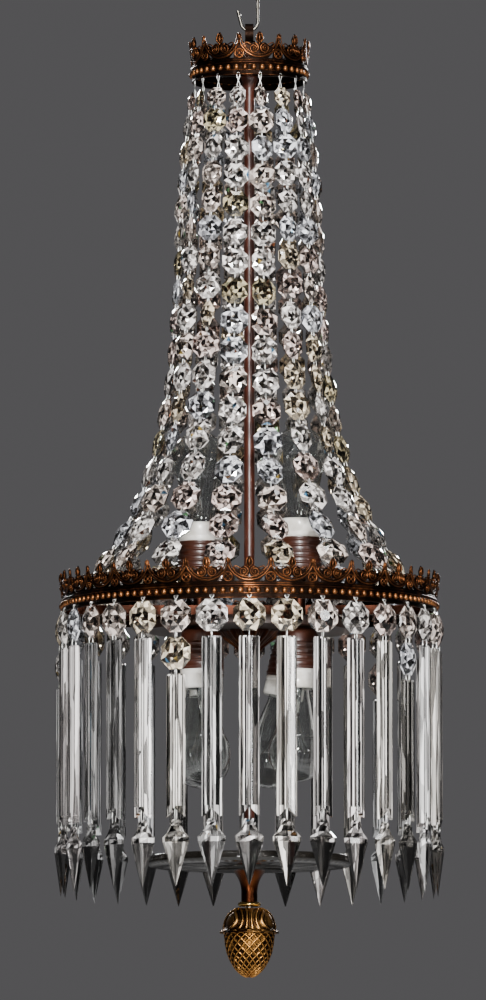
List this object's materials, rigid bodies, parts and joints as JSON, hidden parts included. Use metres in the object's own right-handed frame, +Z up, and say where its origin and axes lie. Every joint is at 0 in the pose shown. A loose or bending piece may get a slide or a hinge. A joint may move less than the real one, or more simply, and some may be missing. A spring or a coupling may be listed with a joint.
{
  "type": "crystal chandelier",
  "caption": "Bell-shaped crystal chandelier: stamped bronze crown and ring, octagon strands, a curtain of prism drops, clear lamps, glass dish and acorn finial.",
  "frame": {"origin": "centre of the hanger's top eye, where the ceiling hook goes through", "axes": "+Z up along the stem; -Y towards the camera of the picture; +X to the right of the picture"},
  "size_m": [0.368, 0.368, 0.9677],
  "materials": {
    "steel_wire": "satin",
    "antique_bronze": "antique, polished high spots",
    "gilt_bronze": "gilt",
    "polished_brass": "polished",
    "copper_brown": "satin",
    "brown_enamel": "satin",
    "porcelain": "glazed",
    "chrome_pin": "bright",
    "crystal": "cut and polished",
    "smoked_glass": "pressed",
    "bulb_glass": "clear"
  },
  "bodies": {
    "hanger": {"hanger_hook": "steel_wire"},
    "chandelier_frame": {"top_loop": "antique_bronze", "top_gallery": "antique_bronze", "top_hoop": "copper_brown", "stem_tube": "copper_brown", "stem_rod": "steel_wire", "main_gallery": "antique_bronze", "main_hoop": "copper_brown", "hub_boss": "antique_bronze", "lamp_plate": "brown_enamel", "lamp_risers": "copper_brown", "lampholder_sleeves": "copper_brown", "porcelain_rings": "porcelain", "strand_pins": "chrome_pin", "strands_front": "crystal", "strands_right": "crystal", "strands_back": "crystal", "strands_left": "crystal", "glass_dish": "smoked_glass", "dish_neck": "brown_enamel", "finial_collar": "polished_brass"},
    "finial": {"finial_acorn": "gilt_bronze"},
    "bulb_1_body": {"bulb_1": "bulb_glass"},
    "bulb_2_body": {"bulb_2": "bulb_glass"},
    "bulb_3_body": {"bulb_3": "bulb_glass"},
    "bulb_4_body": {"bulb_4": "bulb_glass"},
    "bulb_5_body": {"bulb_5": "bulb_glass"},
    "bulb_6_body": {"bulb_6": "bulb_glass"},
    "drop_01_body": {"drop_01": "crystal"},
    "drop_02_body": {"drop_02": "crystal"},
    "drop_03_body": {"drop_03": "crystal"},
    "drop_04_body": {"drop_04": "crystal"},
    "drop_05_body": {"drop_05": "crystal"},
    "drop_06_body": {"drop_06": "crystal"},
    "drop_07_body": {"drop_07": "crystal"},
    "drop_08_body": {"drop_08": "crystal"},
    "drop_09_body": {"drop_09": "crystal"},
    "drop_10_body": {"drop_10": "crystal"},
    "drop_11_body": {"drop_11": "crystal"},
    "drop_12_body": {"drop_12": "crystal"},
    "drop_13_body": {"drop_13": "crystal"},
    "drop_14_body": {"drop_14": "crystal"},
    "drop_15_body": {"drop_15": "crystal"},
    "drop_16_body": {"drop_16": "crystal"},
    "drop_17_body": {"drop_17": "crystal"},
    "drop_18_body": {"drop_18": "crystal"},
    "drop_19_body": {"drop_19": "crystal"},
    "drop_20_body": {"drop_20": "crystal"},
    "drop_21_body": {"drop_21": "crystal"},
    "drop_22_body": {"drop_22": "crystal"},
    "drop_23_body": {"drop_23": "crystal"},
    "drop_24_body": {"drop_24": "crystal"},
    "drop_25_body": {"drop_25": "crystal"},
    "drop_26_body": {"drop_26": "crystal"},
    "drop_27_body": {"drop_27": "crystal"},
    "drop_28_body": {"drop_28": "crystal"},
    "drop_29_body": {"drop_29": "crystal"},
    "drop_30_body": {"drop_30": "crystal"},
    "drop_31_body": {"drop_31": "crystal"},
    "drop_32_body": {"drop_32": "crystal"}
  },
  "joints": [
    {"name": "chandelier_swing", "type": "hinge", "parent": "hanger", "child": "chandelier_frame", "pos_m": [0, 0, -0.056], "axis": [1, 0, 0], "range_deg": [-15, 15]},
    {"name": "finial_turn", "type": "hinge", "parent": "chandelier_frame", "child": "finial", "pos_m": [0, 0, -0.9], "axis": [0, 0, 1], "continuous": true},
    {"name": "bulb_1_unscrews", "type": "slide", "parent": "chandelier_frame", "child": "bulb_1_body", "axis": [-0.225, 0, -0.9744], "range_m": [0, 0.026]},
    {"name": "bulb_2_unscrews", "type": "slide", "parent": "chandelier_frame", "child": "bulb_2_body", "axis": [0, 0, -1], "range_m": [0, 0.026]},
    {"name": "bulb_3_unscrews", "type": "slide", "parent": "chandelier_frame", "child": "bulb_3_body", "axis": [0, 0, -1], "range_m": [0, 0.026]},
    {"name": "bulb_4_unscrews", "type": "slide", "parent": "chandelier_frame", "child": "bulb_4_body", "axis": [0, 0, -1], "range_m": [0, 0.026]},
    {"name": "bulb_5_unscrews", "type": "slide", "parent": "chandelier_frame", "child": "bulb_5_body", "axis": [0, 0, 1], "range_m": [0, 0.026]},
    {"name": "bulb_6_unscrews", "type": "slide", "parent": "chandelier_frame", "child": "bulb_6_body", "axis": [0, 0, 1], "range_m": [0, 0.026]},
    {"name": "drop_01_swing", "type": "hinge", "parent": "chandelier_frame", "child": "drop_01_body", "pos_m": [0, -0.17795, -0.6126], "axis": [-1, 0, 0], "range_deg": [-8, 25]},
    {"name": "drop_02_swing", "type": "hinge", "parent": "chandelier_frame", "child": "drop_02_body", "pos_m": [0.03472, -0.17453, -0.6126], "axis": [-0.9808, -0.1951, 0], "range_deg": [-8, 25]},
    {"name": "drop_03_swing", "type": "hinge", "parent": "chandelier_frame", "child": "drop_03_body", "pos_m": [0.0681, -0.1644, -0.6126], "axis": [-0.9239, -0.3827, 0], "range_deg": [-8, 25]},
    {"name": "drop_04_swing", "type": "hinge", "parent": "chandelier_frame", "child": "drop_04_body", "pos_m": [0.09886, -0.14796, -0.6126], "axis": [-0.8315, -0.5556, 0], "range_deg": [-8, 25]},
    {"name": "drop_05_swing", "type": "hinge", "parent": "chandelier_frame", "child": "drop_05_body", "pos_m": [0.12583, -0.12583, -0.6126], "axis": [-0.7071, -0.7071, 0], "range_deg": [-8, 25]},
    {"name": "drop_06_swing", "type": "hinge", "parent": "chandelier_frame", "child": "drop_06_body", "pos_m": [0.14796, -0.09886, -0.6126], "axis": [-0.5556, -0.8315, 0], "range_deg": [-8, 25]},
    {"name": "drop_07_swing", "type": "hinge", "parent": "chandelier_frame", "child": "drop_07_body", "pos_m": [0.1644, -0.0681, -0.6126], "axis": [-0.3827, -0.9239, 0], "range_deg": [-8, 25]},
    {"name": "drop_08_swing", "type": "hinge", "parent": "chandelier_frame", "child": "drop_08_body", "pos_m": [0.17453, -0.03472, -0.6126], "axis": [-0.1951, -0.9808, 0], "range_deg": [-8, 25]},
    {"name": "drop_09_swing", "type": "hinge", "parent": "chandelier_frame", "child": "drop_09_body", "pos_m": [0.17795, 0, -0.6126], "axis": [0, -1, 0], "range_deg": [-8, 25]},
    {"name": "drop_10_swing", "type": "hinge", "parent": "chandelier_frame", "child": "drop_10_body", "pos_m": [0.17453, 0.03472, -0.6126], "axis": [0.1951, -0.9808, 0], "range_deg": [-8, 25]},
    {"name": "drop_11_swing", "type": "hinge", "parent": "chandelier_frame", "child": "drop_11_body", "pos_m": [0.1644, 0.0681, -0.6126], "axis": [0.3827, -0.9239, 0], "range_deg": [-8, 25]},
    {"name": "drop_12_swing", "type": "hinge", "parent": "chandelier_frame", "child": "drop_12_body", "pos_m": [0.14796, 0.09886, -0.6126], "axis": [0.5556, -0.8315, 0], "range_deg": [-8, 25]},
    {"name": "drop_13_swing", "type": "hinge", "parent": "chandelier_frame", "child": "drop_13_body", "pos_m": [0.12583, 0.12583, -0.6126], "axis": [0.7071, -0.7071, 0], "range_deg": [-8, 25]},
    {"name": "drop_14_swing", "type": "hinge", "parent": "chandelier_frame", "child": "drop_14_body", "pos_m": [0.09886, 0.14796, -0.6126], "axis": [0.8315, -0.5556, 0], "range_deg": [-8, 25]},
    {"name": "drop_15_swing", "type": "hinge", "parent": "chandelier_frame", "child": "drop_15_body", "pos_m": [0.0681, 0.1644, -0.6126], "axis": [0.9239, -0.3827, 0], "range_deg": [-8, 25]},
    {"name": "drop_16_swing", "type": "hinge", "parent": "chandelier_frame", "child": "drop_16_body", "pos_m": [0.03472, 0.17453, -0.6126], "axis": [0.9808, -0.1951, 0], "range_deg": [-8, 25]},
    {"name": "drop_17_swing", "type": "hinge", "parent": "chandelier_frame", "child": "drop_17_body", "pos_m": [0, 0.17795, -0.6126], "axis": [1, 0, 0], "range_deg": [-8, 25]},
    {"name": "drop_18_swing", "type": "hinge", "parent": "chandelier_frame", "child": "drop_18_body", "pos_m": [-0.03472, 0.17453, -0.6126], "axis": [0.9808, 0.1951, 0], "range_deg": [-8, 25]},
    {"name": "drop_19_swing", "type": "hinge", "parent": "chandelier_frame", "child": "drop_19_body", "pos_m": [-0.0681, 0.1644, -0.6126], "axis": [0.9239, 0.3827, 0], "range_deg": [-8, 25]},
    {"name": "drop_20_swing", "type": "hinge", "parent": "chandelier_frame", "child": "drop_20_body", "pos_m": [-0.09886, 0.14796, -0.6126], "axis": [0.8315, 0.5556, 0], "range_deg": [-8, 25]},
    {"name": "drop_21_swing", "type": "hinge", "parent": "chandelier_frame", "child": "drop_21_body", "pos_m": [-0.12583, 0.12583, -0.6126], "axis": [0.7071, 0.7071, 0], "range_deg": [-8, 25]},
    {"name": "drop_22_swing", "type": "hinge", "parent": "chandelier_frame", "child": "drop_22_body", "pos_m": [-0.14796, 0.09886, -0.6126], "axis": [0.5556, 0.8315, 0], "range_deg": [-8, 25]},
    {"name": "drop_23_swing", "type": "hinge", "parent": "chandelier_frame", "child": "drop_23_body", "pos_m": [-0.1644, 0.0681, -0.6126], "axis": [0.3827, 0.9239, 0], "range_deg": [-8, 25]},
    {"name": "drop_24_swing", "type": "hinge", "parent": "chandelier_frame", "child": "drop_24_body", "pos_m": [-0.17453, 0.03472, -0.6126], "axis": [0.1951, 0.9808, 0], "range_deg": [-8, 25]},
    {"name": "drop_25_swing", "type": "hinge", "parent": "chandelier_frame", "child": "drop_25_body", "pos_m": [-0.17795, 0, -0.6126], "axis": [0, 1, 0], "range_deg": [-8, 25]},
    {"name": "drop_26_swing", "type": "hinge", "parent": "chandelier_frame", "child": "drop_26_body", "pos_m": [-0.17453, -0.03472, -0.6126], "axis": [-0.1951, 0.9808, 0], "range_deg": [-8, 25]},
    {"name": "drop_27_swing", "type": "hinge", "parent": "chandelier_frame", "child": "drop_27_body", "pos_m": [-0.1644, -0.0681, -0.6126], "axis": [-0.3827, 0.9239, 0], "range_deg": [-8, 25]},
    {"name": "drop_28_swing", "type": "hinge", "parent": "chandelier_frame", "child": "drop_28_body", "pos_m": [-0.14796, -0.09886, -0.6126], "axis": [-0.5556, 0.8315, 0], "range_deg": [-8, 25]},
    {"name": "drop_29_swing", "type": "hinge", "parent": "chandelier_frame", "child": "drop_29_body", "pos_m": [-0.12583, -0.12583, -0.6126], "axis": [-0.7071, 0.7071, 0], "range_deg": [-8, 25]},
    {"name": "drop_30_swing", "type": "hinge", "parent": "chandelier_frame", "child": "drop_30_body", "pos_m": [-0.09886, -0.14796, -0.6126], "axis": [-0.8315, 0.5556, 0], "range_deg": [-8, 25]},
    {"name": "drop_31_swing", "type": "hinge", "parent": "chandelier_frame", "child": "drop_31_body", "pos_m": [-0.0681, -0.1644, -0.6126], "axis": [-0.9239, 0.3827, 0], "range_deg": [-8, 25]},
    {"name": "drop_32_swing", "type": "hinge", "parent": "chandelier_frame", "child": "drop_32_body", "pos_m": [-0.03472, -0.17453, -0.6126], "axis": [-0.9808, 0.1951, 0], "range_deg": [-8, 25]}
  ]
}
